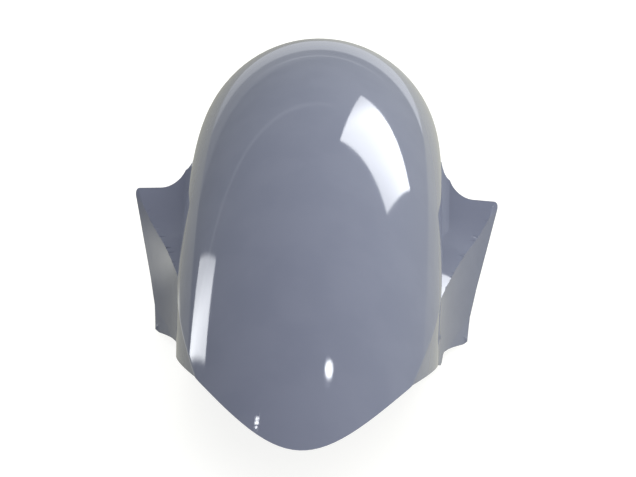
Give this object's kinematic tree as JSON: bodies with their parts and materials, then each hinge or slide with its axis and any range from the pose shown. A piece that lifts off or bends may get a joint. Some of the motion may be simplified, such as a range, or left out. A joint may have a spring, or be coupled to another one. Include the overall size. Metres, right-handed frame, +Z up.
{
  "type": "motorcycle front mudguard fairing",
  "caption": "Glossy one-piece front mudguard moulding for a sport motorcycle: half-round arch over the wheel, pointed nose, side skirts and two flared wings in front of the fork legs.",
  "frame": {"origin": "bottom centre of the bounding box, on the plane that the moulding rests on", "axes": "+Y from the nose to the tail, +Z up, +X across to the wing on the right of the picture"},
  "size_m": [0.2224, 0.535, 0.177],
  "materials": {
    "gelcoat": "gloss blue-grey gelcoat"
  },
  "bodies": {
    "root": {"mudguard_shell": "gelcoat"}
  },
  "joints": []
}
